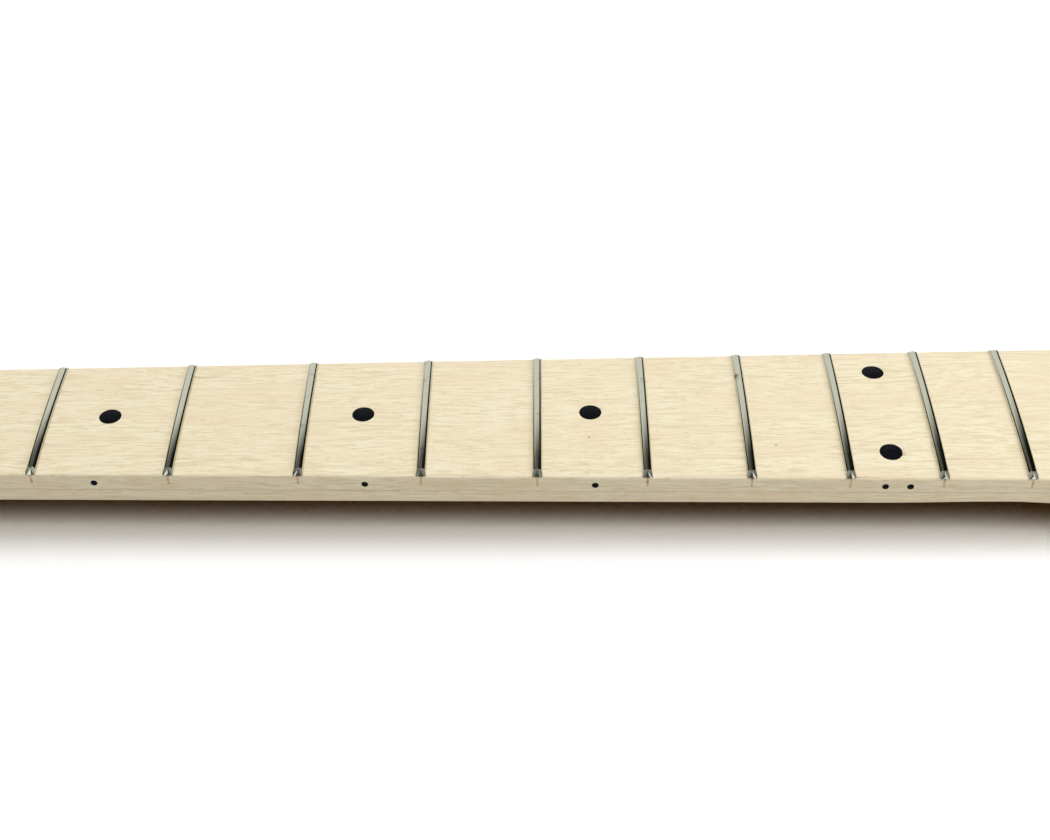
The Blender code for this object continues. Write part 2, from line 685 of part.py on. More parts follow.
def main():
    for leftover in list(bpy.data.objects):
        bpy.data.objects.remove(leftover)
    maple = material("raw maple", (0.84, 0.72, 0.53), 0.6)
    board_maple = material("raw maple fretboard", (0.87, 0.77, 0.58), 0.55)
    nickel_silver = material("nickel silver", (0.66, 0.64, 0.58), 0.25, 1.0)
    black_plastic = material("black plastic", (0.015, 0.015, 0.02), 0.35)
    bone = material("bone", (0.85, 0.81, 0.70), 0.45)
    steel = material("plated steel", (0.56, 0.55, 0.53), 0.4, 1.0)
    brass = material("brass", (0.70, 0.52, 0.24), 0.4, 1.0)

    neck = bpy.data.objects.new("bass_neck", None)
    bpy.context.collection.objects.link(neck)
    make_shaft(maple, neck)
    make_fretboard(board_maple, neck)
    make_frets(nickel_silver, neck)
    make_dots(black_plastic, neck)
    make_nut(bone, neck)
    make_rod_frame(steel, brass, neck)
    make_turning_rod(steel, neck)


main()
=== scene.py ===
"""The looks of a bass guitar neck of raw maple, with nickel silver frets and black dots.

The neck lies on its back along X, headstock towards -X, bass side towards -Y and frets up."""

from math import atan2, cos, pi, radians, sin, sqrt, tan

import bmesh
import bpy
from mathutils import Euler, Matrix, Vector


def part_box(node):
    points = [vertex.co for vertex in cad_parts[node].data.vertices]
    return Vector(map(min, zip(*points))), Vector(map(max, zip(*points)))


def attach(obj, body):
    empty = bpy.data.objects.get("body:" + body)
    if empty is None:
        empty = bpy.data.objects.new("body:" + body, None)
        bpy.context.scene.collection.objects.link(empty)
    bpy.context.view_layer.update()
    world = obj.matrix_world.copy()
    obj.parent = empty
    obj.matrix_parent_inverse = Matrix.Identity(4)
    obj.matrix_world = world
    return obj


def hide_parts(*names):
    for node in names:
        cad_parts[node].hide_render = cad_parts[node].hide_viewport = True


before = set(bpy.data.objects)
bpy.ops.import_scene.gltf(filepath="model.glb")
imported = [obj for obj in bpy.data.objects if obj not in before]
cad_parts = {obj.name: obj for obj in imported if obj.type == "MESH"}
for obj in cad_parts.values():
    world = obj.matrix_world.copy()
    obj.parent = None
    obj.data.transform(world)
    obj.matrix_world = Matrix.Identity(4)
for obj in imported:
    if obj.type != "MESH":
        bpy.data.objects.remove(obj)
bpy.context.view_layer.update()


# Neck shaft
# The shaft is sawn from one plank of hard maple with its headstock and heel, carved round on its
# back and sanded. It is sold bare, so the wood has no lacquer and its grain runs along the neck.

MAPLE_PALE = "#F4EACC"
MAPLE_STREAK = "#E0CEA6"
MAPLE_WARM = "#F0DBBB"
MAPLE_PORE = "#C9AE80"
GLUE_BROWN = "#B79A6B"
FIBRE_LENGTH = 0.0070
FIBRE_WIDTH = 0.0006
STREAK_LENGTH = 0.0220
STREAK_WIDTH = 0.0011
RING_LENGTH = 0.1500
RING_WIDTH = 0.0060
PATCH_SIZE = 0.0110
PORE_LENGTH = 0.0022
PORE_WIDTH = 0.0004
GRAIN_WANDER = 0.0035
WANDER_LENGTH = 0.0600
WANDER_WIDTH = 0.0180
GLUE_LINE_HALF = 0.00012
GLUE_SHARE = 0.55
SOFT_CORE = 0.3
MERGE_DISTANCE = 1e-6
FLAT_ANGLE = radians(0.2)
EDGE_ANGLE = radians(35)
SHAFT_EDGE_ANGLE = radians(32)
WIDE_FACE_WEIGHT = 80

board_low, board_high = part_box("fretboard")


def linear(colour):
    """Red, green, blue and alpha of an sRGB hex colour, as linear light."""
    channels = [int(colour[place:place + 2], 16) / 255 for place in (1, 3, 5)]
    light = [c / 12.92 if c <= 0.04045 else ((c + 0.055) / 1.055) ** 2.4 for c in channels]
    return (*light, 1.0)


def add(tree, kind, inputs=None, **settings):
    """Adds a node with its settings, and gives each named or numbered input its value or its link."""
    made = tree.nodes.new(kind)
    for name, value in settings.items():
        setattr(made, name, value)
    for name, value in (inputs or {}).items():
        if isinstance(value, bpy.types.NodeSocket):
            tree.links.new(value, made.inputs[name])
        else:
            made.inputs[name].default_value = value
    return made


def new_material(name, roughness, metallic=0.0):
    """An empty procedural material, with its shader and the place on the neck to read patterns from."""
    finish = bpy.data.materials.new(name)
    finish.use_nodes = True
    tree = finish.node_tree
    shader = tree.nodes["Principled BSDF"]
    shader.inputs["Roughness"].default_value = roughness
    shader.inputs["Metallic"].default_value = metallic
    place = add(tree, "ShaderNodeTexCoord").outputs["Object"]
    return finish, tree, shader, place


def stretched_noise(tree, place, size, detail, roughness=0.5):
    """Noise whose spots have a real size along X, Y and Z, in metres."""
    scaled = add(
        tree,
        "ShaderNodeVectorMath",
        {0: place, 1: [1 / length for length in size]},
        operation="MULTIPLY",
    )
    return add(
        tree,
        "ShaderNodeTexNoise",
        {"Vector": scaled.outputs[0], "Scale": 1.0, "Detail": detail, "Roughness": roughness},
    ).outputs["Fac"]


def blend(tree, amount, first, second):
    """One colour laid over another by an amount."""
    return add(tree, "ShaderNodeMix", {0: amount, 6: first, 7: second}, data_type="RGBA").outputs[2]


def calculate(tree, operation, *values):
    """The result of a sum on numbers or sockets."""
    return add(tree, "ShaderNodeMath", dict(enumerate(values)), operation=operation).outputs[0]


def between(tree, value, low, high, start=0.0, end=1.0):
    """A value stretched from one range to another, and held inside it."""
    ranged = add(
        tree,
        "ShaderNodeMapRange",
        {"Value": value, "From Min": low, "From Max": high, "To Min": start, "To Max": end},
        interpolation_type="SMOOTHSTEP",
    )
    return ranged.outputs[0]


def raw_maple(name, shift):
    """Hard maple, planed and sanded: to the eye pale and dull, with short tan fibre streaks that wander
    a little, faint wide year rings, pinkish patches and fine pores, drawn wider than their 0.1 mm."""
    finish, tree, shader, place = new_material(name, roughness=0.62)
    moved = add(tree, "ShaderNodeMapping", {"Vector": place, "Location": shift}).outputs[0]
    drift = stretched_noise(tree, moved, (WANDER_LENGTH, WANDER_WIDTH, WANDER_WIDTH), 1.0)
    offset = between(tree, drift, 0.2, 0.8, -GRAIN_WANDER / 2, GRAIN_WANDER / 2)
    sideways = add(tree, "ShaderNodeCombineXYZ", {1: offset, 2: offset}).outputs[0]
    grain = add(tree, "ShaderNodeVectorMath", {0: moved, 1: sideways}).outputs[0]

    fibres = stretched_noise(tree, grain, (FIBRE_LENGTH, FIBRE_WIDTH, FIBRE_WIDTH), 3.0, 0.55)
    streaks = stretched_noise(tree, grain, (STREAK_LENGTH, STREAK_WIDTH, STREAK_WIDTH), 2.0)
    rings = stretched_noise(tree, grain, (RING_LENGTH, RING_WIDTH, RING_WIDTH), 1.0)
    patches = stretched_noise(tree, moved, (PATCH_SIZE * 2, PATCH_SIZE, PATCH_SIZE), 2.0)
    pores = stretched_noise(tree, grain, (PORE_LENGTH, PORE_WIDTH, PORE_WIDTH), 1.0)

    # Each layer of colour has its noise, the value where it starts, the value where it is fullest, how
    # much there is of it then, and its colour.
    layers = (
        (fibres, 0.42, 0.68, 0.75, MAPLE_STREAK),
        (streaks, 0.50, 0.70, 0.50, MAPLE_STREAK),
        (rings, 0.45, 0.75, 0.30, MAPLE_WARM),
        (patches, 0.45, 0.70, 0.45, MAPLE_WARM),
        (pores, 0.62, 0.76, 0.45, MAPLE_PORE),
    )
    wood = linear(MAPLE_PALE)
    for noise, starts, fullest, most, colour in layers:
        amount = between(tree, noise, starts, fullest, 0.0, most)
        wood = blend(tree, amount, wood, linear(colour))

    height = add(tree, "ShaderNodeSeparateXYZ", {0: place}).outputs[2]
    distance = calculate(tree, "ABSOLUTE", calculate(tree, "SUBTRACT", height, board_low.z))
    glue = between(tree, distance, SOFT_CORE * GLUE_LINE_HALF, GLUE_LINE_HALF, GLUE_SHARE, 0.0)
    tree.links.new(blend(tree, glue, wood, linear(GLUE_BROWN)), shader.inputs["Base Color"])

    sanded = between(tree, fibres, 0.3, 0.7, start=0.56, end=0.68)
    tree.links.new(sanded, shader.inputs["Roughness"])
    shader.inputs["Specular IOR Level"].default_value = 0.35
    rough = calculate(tree, "SUBTRACT", fibres, pores)
    bump = add(tree, "ShaderNodeBump", {"Strength": 0.35, "Distance": 0.00004, "Height": rough})
    tree.links.new(bump.outputs[0], shader.inputs["Normal"])
    return finish


def merged_copy(node):
    """The mesh of a CAD node with its loose triangles joined up, and its flat faces in one piece."""
    bm = bmesh.new()
    bm.from_mesh(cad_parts[node].data)
    bmesh.ops.remove_doubles(bm, verts=bm.verts, dist=MERGE_DISTANCE)
    bmesh.ops.dissolve_limit(bm, angle_limit=FLAT_ANGLE, verts=bm.verts, edges=bm.edges)
    return bm


def add_piece(name, bm, finish, edge_angle=EDGE_ANGLE):
    """A mesh object of a finished bmesh, smooth but for edges sharper than an angle."""
    mesh = bpy.data.meshes.new(name)
    bm.to_mesh(mesh)
    bm.free()
    mesh.shade_smooth()
    mesh.set_sharp_from_angle(angle=edge_angle)
    mesh.materials.append(finish)
    piece = bpy.data.objects.new(name, mesh)
    bpy.context.scene.collection.objects.link(piece)
    return piece


def even_shading(piece):
    """Wide faces set the shading of the slim ones beside them, as on a sanded surface."""
    weighted = piece.modifiers.new("even_shading", "WEIGHTED_NORMAL")
    weighted.keep_sharp = True
    weighted.weight = WIDE_FACE_WEIGHT


shaft_maple = raw_maple("raw hard maple", (0.0, 0.0, 0.0))
shaft = add_piece("maple_shaft", merged_copy("neck_shaft"), shaft_maple, SHAFT_EDGE_ANGLE)
even_shading(shaft)
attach(shaft, "neck")
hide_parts("neck_shaft")


# Fretboard
# A thin board of the same pale maple, planed to an arched face and glued on top of the shaft. The
# slots for the frets are sawn right across it, and its long edges are rolled with sandpaper.

BOARD_RADIUS = 0.3048
ARCH_STRIPS = 48
ARCH_SLACK = 0.00003
BOARD_EDGE_ANGLE = radians(28)
BOARD_GRAIN_SHIFT = (0.3700, 0.0210, 0.0430)
SAW_SLACK = 1e-7
SPECK_BROWN = "#7A6244"
SPECK_RADIUS = 0.00045
SPECKS = ((-0.22746, -0.01057), (-0.17501, -0.01448))


def board_height(y):
    """Z of the board's arched face."""
    return board_high.z - BOARD_RADIUS + sqrt(BOARD_RADIUS**2 - y**2)


def score(bm, point, normal, clear=False):
    """Scores a line where a plane meets a mesh, and clears away what lies beyond it where asked."""
    bmesh.ops.bisect_plane(
        bm,
        geom=[*bm.verts, *bm.edges, *bm.faces],
        dist=SAW_SLACK,
        plane_co=point,
        plane_no=normal,
        clear_outer=clear,
    )


def near(tree, place, point, radius, most):
    """How close a place is to a point: most at the point, and nothing past the radius."""
    apart = add(tree, "ShaderNodeVectorMath", {0: place, 1: point}, operation="DISTANCE")
    return between(tree, apart.outputs["Value"], SOFT_CORE * radius, radius, most, 0.0)


board_maple = raw_maple("raw hard maple fretboard", BOARD_GRAIN_SHIFT)
tree = board_maple.node_tree
place = add(tree, "ShaderNodeTexCoord").outputs["Object"]
shader = tree.nodes["Principled BSDF"]
for x, y in SPECKS:
    wood = shader.inputs["Base Color"].links[0].from_socket
    speck = near(tree, place, (x, y, board_height(y)), SPECK_RADIUS, most=0.75)
    tree.links.new(blend(tree, speck, wood, linear(SPECK_BROWN)), shader.inputs["Base Color"])

arched = merged_copy("fretboard")
for strip in range(1, ARCH_STRIPS):
    score(arched, (0, board_high.y * (2 * strip / ARCH_STRIPS - 1), 0), (0, 1, 0))
for vertex in arched.verts:
    if vertex.co.z > board_height(vertex.co.y) - ARCH_SLACK:
        vertex.co.z = board_height(vertex.co.y)
board = add_piece("maple_fretboard", arched, board_maple, BOARD_EDGE_ANGLE)
even_shading(board)
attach(board, "neck")
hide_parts("fretboard")


# Slot-end fillers
# Where a slot comes out at the side of the board, beyond the end of the fret's tang, it is packed
# with a paste of maple dust and glue, and sanded flush. It dries a little darker than the wood.

FILLER_TAN = "#DCC499"
FILLER_DARK = "#A98450"
FILLER_WIDTH = 0.0007
FILLER_DEPTH = 0.0028
FILLER_REACH = 0.0017
FILLER_PROUD = 0.00001
FILLER_MOTTLE = (0.0040, 0.0020, 0.0012)
EDGE_ROLL = 0.0008
EDGE_ROLL_STEPS = 4
FRET_COUNT = 20
FRET_INSET = 0.0001


def quarter_turn(axis):
    """A turn of 90 degrees about X, Y or Z."""
    return Matrix.Rotation(radians(90), 3, axis)


def ease(bm, geom, width, segments, affect="EDGES"):
    """Rounds edges or corners over a width."""
    bmesh.ops.bevel(
        bm,
        geom=geom,
        offset=width,
        affect=affect,
        segments=segments,
        profile=0.5,
        material=-1,
    )


def draw_out(bm, faces, shift):
    """Draws faces out into a body by a shift."""
    grown = bmesh.ops.extrude_face_region(bm, geom=faces)["geom"]
    moved = [v for v in grown if isinstance(v, bmesh.types.BMVert)]
    bmesh.ops.translate(bm, verts=moved, vec=shift)


# Wood dust set in glue: dull and tan, darker wherever more glue came up.
filler_paste, tree, shader, place = new_material("dried maple dust and glue", roughness=0.75)
mottle = stretched_noise(tree, place, FILLER_MOTTLE, 2.0)
paste = blend(tree, between(tree, mottle, 0.50, 0.70), linear(FILLER_TAN), linear(FILLER_DARK))
tree.links.new(paste, shader.inputs["Base Color"])

fillers = bmesh.new()
for number in range(1, FRET_COUNT + 1):
    low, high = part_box(f"fret_{number:02d}")
    middle = (low.x + high.x) / 2
    half = high.y + FRET_INSET
    for side in (-1, 1):
        top = board_height(half) + FILLER_PROUD
        corners = bmesh.ops.create_grid(fillers, x_segments=1, y_segments=1, size=0.5)["verts"]
        bmesh.ops.scale(fillers, verts=corners, vec=(FILLER_REACH, FILLER_DEPTH, 1))
        bmesh.ops.rotate(fillers, verts=corners, matrix=quarter_turn("X"))
        bmesh.ops.rotate(fillers, verts=corners, matrix=quarter_turn("Z"))
        shift = (middle - FILLER_WIDTH / 2, side * (half - FILLER_REACH / 2), top - FILLER_DEPTH / 2)
        bmesh.ops.translate(fillers, verts=corners, vec=shift)
        outer = [v for v in corners if v.co.z > top - EDGE_ROLL and abs(v.co.y) > half - EDGE_ROLL]
        ease(fillers, outer, EDGE_ROLL, EDGE_ROLL_STEPS, "VERTICES")
        flat = min(fillers.faces, key=lambda face: (face.calc_center_median() - Vector(shift)).length)
        draw_out(fillers, [flat], (FILLER_WIDTH, 0, 0))
bmesh.ops.recalc_face_normals(fillers, faces=fillers.faces)
filler_piece = add_piece("slot_end_fillers", fillers, filler_paste)
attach(filler_piece, "neck")


# Frets
# Wire of nickel silver with a round crown and a thin tang, bent to the board's arch and pressed into
# its slots. The ends are filed at a slant and their corners broken, and the crowns are polished.

NICKEL_SILVER = "#D2D2BF"
FRET_GRIME = "#8C8468"
RUST_BROWN = "#8A5A2E"
RUST_PLACE = (-0.1841, 0.0150, 0.0258)
RUST_RADIUS = 0.0017
FRET_BEVEL = radians(48)
FRET_CORNER_FILED = 0.0002
FRET_CORNER_TURN = radians(40)
FRET_END_EASE = 0.00012
FRET_SEAT = 0.00005
FACES_UP = 0.3
FACES_STRAIGHT = 0.9
FRET_EDGE_ANGLE = radians(24)
POLISH_LINE = (0.00022, 0.0120, 0.00022)
STAIN_SIZE = (0.0040, 0.0030, 0.0040)
CROWN_WIDTH = 0.0028
CROWN_HEIGHT = 0.0013
CROWN_FULLNESS = 0.86
CROWN_SIDES = 40
CROWN_STEPS_ALONG = 30
TANG_HALF = 0.00025
TANG_DEPTH = 0.0022
TANG_NIP = 0.0018

# Buffed copper, nickel and zinc: a bright mirror with a faint yellow cast, dulled by fine lines along
# the wire, drawn 0.2 mm wide instead of their 0.02 mm, by a little grime and by one brown spot.
fret_metal, tree, shader, place = new_material("polished nickel silver", roughness=0.12, metallic=1.0)
polish = stretched_noise(tree, place, POLISH_LINE, 2.0)
stain = stretched_noise(tree, place, STAIN_SIZE, 2.0)
grime = between(tree, stain, 0.62, 0.74, start=0.0, end=0.35)
tint = blend(tree, grime, linear(NICKEL_SILVER), linear(FRET_GRIME))
rust = near(tree, place, RUST_PLACE, RUST_RADIUS, most=0.9)
tree.links.new(blend(tree, rust, tint, linear(RUST_BROWN)), shader.inputs["Base Color"])
buffed = between(tree, polish, 0.3, 0.7, start=0.06, end=0.12)
tree.links.new(buffed, shader.inputs["Roughness"])
lines = add(tree, "ShaderNodeBump", {"Strength": 0.05, "Distance": 0.00002, "Height": polish})
tree.links.new(lines.outputs[0], shader.inputs["Normal"])


def cut_off(bm, point, outward):
    """Saws off what lies beyond a plane, and closes the cut."""
    score(bm, point, outward, clear=True)
    bmesh.ops.holes_fill(bm, edges=[edge for edge in bm.edges if edge.is_boundary])


for number in range(1, FRET_COUNT + 1):
    node = f"fret_{number:02d}"
    low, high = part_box(node)
    middle, end = (low.x + high.x) / 2, high.y
    nipped = end + FRET_INSET - TANG_NIP
    wire = bmesh.new()
    bmesh.ops.create_circle(wire, cap_ends=True, segments=CROWN_SIDES, radius=0.5)
    bmesh.ops.scale(wire, verts=wire.verts, vec=(CROWN_WIDTH, 2 * CROWN_HEIGHT, 1))
    bmesh.ops.rotate(wire, verts=wire.verts, matrix=quarter_turn("X"))
    score(wire, (0, 0, 0), (0, 0, -1), clear=True)
    for vertex in wire.verts:
        fuller = abs(2 * vertex.co.x / CROWN_WIDTH) ** CROWN_FULLNESS * CROWN_WIDTH / 2
        vertex.co.x = fuller if vertex.co.x > 0 else -fuller
        vertex.co.z = (vertex.co.z / CROWN_HEIGHT) ** CROWN_FULLNESS * CROWN_HEIGHT
    bmesh.ops.translate(wire, verts=wire.verts, vec=(0, -end, 0))
    draw_out(wire, list(wire.faces), (0, 2 * end, 0))
    bmesh.ops.recalc_face_normals(wire, faces=wire.faces)
    for step in range(1, CROWN_STEPS_ALONG):
        score(wire, (0, end * (2 * step / CROWN_STEPS_ALONG - 1), 0), (0, 1, 0))
    for side in (-1, 1):
        cut_off(wire, (0, side * end, 0), (0, side * cos(FRET_BEVEL), sin(FRET_BEVEL)))
        top = Vector((0, side * (end - CROWN_HEIGHT * tan(FRET_BEVEL)), CROWN_HEIGHT))
        for turn in (-1, 1):
            corner = Vector((turn * (CROWN_WIDTH / 2 - FRET_CORNER_FILED), side * end, 0))
            level = Vector((turn * cos(FRET_CORNER_TURN), -side * sin(FRET_CORNER_TURN), 0))
            cut_off(wire, top, (turn * side * level.cross(corner - top)).normalized())
        # Of the faces that look up, the slanted cut is the one that looks furthest outward.
        cut_face = max(wire.faces, key=lambda face: face.normal.y * side * (face.normal.z > FACES_UP))
        rim = [edge for edge in cut_face.edges if max(v.co.z for v in edge.verts) > FRET_END_EASE]
        ease(wire, rim, FRET_END_EASE, 2)
    for x in (-TANG_HALF, TANG_HALF):
        score(wire, (x, 0, 0), (1, 0, 0))
    for y in (-nipped, nipped):
        score(wire, (0, y, 0), (0, 1, 0))
    seat = [
        face
        for face in wire.faces
        if face.normal.z < -FACES_STRAIGHT
        and abs(face.calc_center_median().x) < TANG_HALF
        and abs(face.calc_center_median().y) < nipped
    ]
    draw_out(wire, seat, (0, 0, -TANG_DEPTH))
    bmesh.ops.delete(wire, geom=seat, context="FACES")
    for vertex in wire.verts:
        vertex.co.x += middle
        vertex.co.z += board_height(vertex.co.y) + FRET_SEAT
    fret = add_piece(f"fret_wire_{number:02d}", wire, fret_metal, FRET_EDGE_ANGLE)
    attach(fret, "neck")
    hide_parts(node)


# Position dots
# Rods of black plastic glued into drilled holes and cut off. Those on the face are sanded with the
# board, so they share its arch. The small ones on the bass side are seen by the player from above.

DOT_BLACK = "#07080B"
DOT_GREY = "#191C24"
DOT_SIDES = 64
DOT_RIM = 0.00006
SCUFF_SIZE = (0.0012, 0.0002, 0.0002)

# Sanding leaves the plastic a dull blue-black with fine grey scratches along the neck, drawn about
# 0.2 mm wide instead of their 0.05 mm.
dot_plastic, tree, shader, place = new_material("sanded black ABS", roughness=0.42)
shader.inputs["Specular IOR Level"].default_value = 0.06
scuff = stretched_noise(tree, place, SCUFF_SIZE, 3.0)
dark = blend(tree, between(tree, scuff, 0.45, 0.75), linear(DOT_BLACK), linear(DOT_GREY))
tree.links.new(dark, shader.inputs["Base Color"])
scuffed = between(tree, scuff, 0.3, 0.7, start=0.36, end=0.52)
tree.links.new(scuffed, shader.inputs["Roughness"])
scratches = add(tree, "ShaderNodeBump", {"Strength": 0.2, "Distance": 0.00001, "Height": scuff})
tree.links.new(scratches.outputs[0], shader.inputs["Normal"])

for node in sorted(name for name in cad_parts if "_dot_" in name):
    low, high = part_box(node)
    middle, size = (low + high) / 2, high - low
    on_face = node.startswith("face")
    length = size.z if on_face else size.y
    dot = bmesh.new()
    bmesh.ops.create_cone(
        dot,
        cap_ends=True,
        segments=DOT_SIDES,
        radius1=size.x / 2,
        radius2=size.x / 2,
        depth=length,
    )
    if not on_face:
        bmesh.ops.rotate(dot, verts=dot.verts, matrix=quarter_turn("X"))
    bmesh.ops.translate(dot, verts=dot.verts, vec=middle)
    outer = [
        face
        for face in dot.faces
        if (face.normal.z > FACES_STRAIGHT if on_face else face.normal.y < -FACES_STRAIGHT)
    ]
    ease(dot, list(outer[0].edges), DOT_RIM, 2)
    if on_face:
        for vertex in dot.verts:
            if vertex.co.z > middle.z:
                vertex.co.z += board_height(vertex.co.y) - high.z
    piece = add_piece(node.replace("dot", "dot_plug"), dot, dot_plastic)
    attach(piece, "neck")
    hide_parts(node)


# Nut
# A strip of bone in a slot across the end of the board. Its back falls away towards the headstock,
# and a round-bottomed notch for each string is filed through its top.

BONE_PALE = "#F3EFE2"
BONE_DEEP = "#E6DEC8"
BONE_FIBRE = (0.0006, 0.0060, 0.0010)
NUT_EASE = 0.0002
NUT_EASE_ANGLE = radians(40)

# Bone lets a little light in and takes a soft polish. Its fibres show as faint lines along the strip.
bone, tree, shader, place = new_material("polished bone", roughness=0.34)
marrow = stretched_noise(tree, place, BONE_FIBRE, 3.0)
tone = blend(tree, between(tree, marrow, 0.4, 0.7), linear(BONE_PALE), linear(BONE_DEEP))
tree.links.new(tone, shader.inputs["Base Color"])
shader.inputs["Subsurface Weight"].default_value = 0.08
shader.inputs["Subsurface Scale"].default_value = 0.001
nut = add_piece("bone_nut", merged_copy("nut"), bone)
eased = nut.modifiers.new("eased_edges", "BEVEL")
eased.width = NUT_EASE
eased.segments = 3
eased.limit_method = "ANGLE"
eased.angle_limit = NUT_EASE_ANGLE
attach(nut, "neck")
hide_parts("nut")


# Truss rod
# A steel rod turns under a flat bar in a routed channel, between two bored brass blocks. Its round
# head at the headstock end has a hexagon socket for the key that sets the neck's bow.

ROD_SIDES = 48
THREAD_LENGTH = 0.0140
THREAD_PITCH = 0.000794
THREAD_DEPTH = 0.00045
THREAD_STEPS = 6
THREAD_TAPER = 0.0008
HEAD_EASE = 0.0005
SOCKET_WIDTH = 0.0050
SOCKET_DEPTH = 0.0070
SOCKET_EASE = 0.0002
PLATING_STREAK = (0.0050, 0.0006, 0.0006)
SAW_MARK = (0.0002, 0.0040, 0.0040)
STEEL = "#B9B8B4"
STEEL_WORN = "#8F8E8A"
BRASS = "#C9A55A"
BRASS_DULL = "#9C7C3E"

# Thin zinc over rolled steel: a grey metal with a satin shine, streaked along the bar it was cut from.
rod_steel, tree, shader, place = new_material("zinc-plated steel", roughness=0.36, metallic=1.0)
plating = stretched_noise(tree, place, PLATING_STREAK, 3.0)
plated = blend(tree, between(tree, plating, 0.4, 0.7), linear(STEEL), linear(STEEL_WORN))
tree.links.new(plated, shader.inputs["Base Color"])
satin = between(tree, plating, 0.3, 0.7, start=0.30, end=0.45)
tree.links.new(satin, shader.inputs["Roughness"])

# Brass bar sawn into blocks: yellow and satin, with dull marks across it from the blade.
block_brass, tree, shader, place = new_material("sawn brass", roughness=0.4, metallic=1.0)
saw_marks = stretched_noise(tree, place, SAW_MARK, 2.0)
worn = blend(tree, between(tree, saw_marks, 0.35, 0.7), linear(BRASS), linear(BRASS_DULL))
tree.links.new(worn, shader.inputs["Base Color"])

low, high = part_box("truss_rod")
middle, radius = (low + high) / 2, (high.z - low.z) / 2
fine_steps = [THREAD_PITCH / THREAD_STEPS] * round(THREAD_LENGTH / THREAD_PITCH * THREAD_STEPS)
plain_length = high.x - low.x - 2 * sum(fine_steps)
turning = bmesh.new()
end_ring = bmesh.ops.create_circle(turning, segments=ROD_SIDES, radius=radius)["verts"]
bmesh.ops.rotate(turning, verts=end_ring, matrix=quarter_turn("Y"))
bmesh.ops.translate(turning, verts=end_ring, vec=(low.x, 0, middle.z))
edges = list(turning.edges)
for length in (*fine_steps, plain_length, *fine_steps):
    grown = bmesh.ops.extrude_edge_only(turning, edges=edges)["geom"]
    edges = [e for e in grown if isinstance(e, bmesh.types.BMEdge)]
    moved = [v for v in grown if isinstance(v, bmesh.types.BMVert)]
    bmesh.ops.translate(turning, verts=moved, vec=(length, 0, 0))
bmesh.ops.holes_fill(turning, edges=[edge for edge in turning.edges if edge.is_boundary])
for vertex in turning.verts:
    from_end = min(vertex.co.x - low.x, high.x - vertex.co.x)
    turn = atan2(vertex.co.z - middle.z, vertex.co.y) / (2 * pi)
    phase = (vertex.co.x / THREAD_PITCH + turn) % 1
    groove = 2 * THREAD_DEPTH * min(phase, 1 - phase) if from_end < THREAD_LENGTH - THREAD_PITCH else 0
    groove = max(groove, THREAD_DEPTH * (1 - from_end / THREAD_TAPER))
    vertex.co.y *= 1 - groove / radius
    vertex.co.z = middle.z + (vertex.co.z - middle.z) * (1 - groove / radius)
bmesh.ops.recalc_face_normals(turning, faces=turning.faces)
rod = add_piece("steel_rod", turning, rod_steel)
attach(rod, "rod_and_adjuster")
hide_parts("truss_rod")

low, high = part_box("truss_rod_adjuster")
middle, radius = (low + high) / 2, (high.z - low.z) / 2
turned = bmesh.new()
bmesh.ops.create_cone(
    turned,
    cap_ends=True,
    segments=ROD_SIDES,
    radius1=radius,
    radius2=radius,
    depth=high.x - low.x,
)
front_face = max(turned.faces, key=lambda face: face.calc_center_median().z)
ease(turned, list(front_face.edges), HEAD_EASE, 3)
mouth = max(turned.faces, key=lambda face: face.calc_center_median().z)
bmesh.ops.inset_individual(turned, faces=[mouth], thickness=radius / 4)
# Each corner of the inset ring moves out or in along its own ray, to the side of a hexagon.
for vertex in mouth.verts:
    angle = atan2(vertex.co.y, vertex.co.x)
    reach = SOCKET_WIDTH / 2 / cos(angle % radians(60) - radians(30))
    vertex.co.x, vertex.co.y = reach * cos(angle), reach * sin(angle)
mouth_edges = list(mouth.edges)
draw_out(turned, [mouth], (0, 0, -SOCKET_DEPTH))
bmesh.ops.delete(turned, geom=[mouth], context="FACES_ONLY")
ease(turned, mouth_edges, SOCKET_EASE, 2)
bmesh.ops.recalc_face_normals(turned, faces=turned.faces)
bmesh.ops.rotate(turned, verts=turned.verts, matrix=Matrix.Rotation(radians(-90), 3, "Y"))
bmesh.ops.translate(turned, verts=turned.verts, vec=middle)
head = add_piece("steel_adjuster", turned, rod_steel)
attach(head, "rod_and_adjuster")
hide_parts("truss_rod_adjuster")

for node, finish in (
    ("truss_rod_bar", rod_steel),
    ("truss_rod_block_headstock", block_brass),
    ("truss_rod_block_heel", block_brass),
):
    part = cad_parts[node]
    part.data.materials.clear()
    part.data.materials.append(finish)


# Table, light and camera
# A plain white table under one wide soft lamp, a little behind the neck, with a weak lamp at its right.
# The room is what the frets mirror: a white wall behind, a ceiling, windows, grey ends and a dim front.

TABLE_WHITE = "#FDFDFF"
TABLE_GAIN = 1.11
TABLE_SHADOW_BROWN = "#624418"
TABLE_BOUNCE = "#EAE8E7"
TABLE_RADIUS = 6.0
TABLE_SIDES = 64
SHADOW_REACH = 0.2
SHADOW_SAMPLES = 24
SHADOW_DEEP = 0.165
SHADOW_GONE = 0.386
LAMP_STRENGTH = 1.41
LAMP_WIDTH = radians(41)
LAMP_BEHIND = radians(15.5)
LAMP_PLACE = (0.0, 0.3, 1.2)
SIDE_LAMP_WATTS = 2.7
SIDE_LAMP_SIZE = 0.5
SIDE_LAMP_PLACE = (0.55, -0.15, 0.60)
WALL_LEAN = -0.05
WALL_WHITE = 0.85
GLOW_WHITE = 0.12
SIDE_WHITE = 0.39
END_GREY = 0.36
WINDOW_WHITE = 1.25
WINDOW_SHIFT = 0.04
FRONT_GREY = 0.20
FRONT_DIM = 0.08
OVERHEAD_WHITE = 1.10
ROOM_DARK = 0.006
CAMERA_PLACE = (-0.239323, -0.382490, 0.351620)
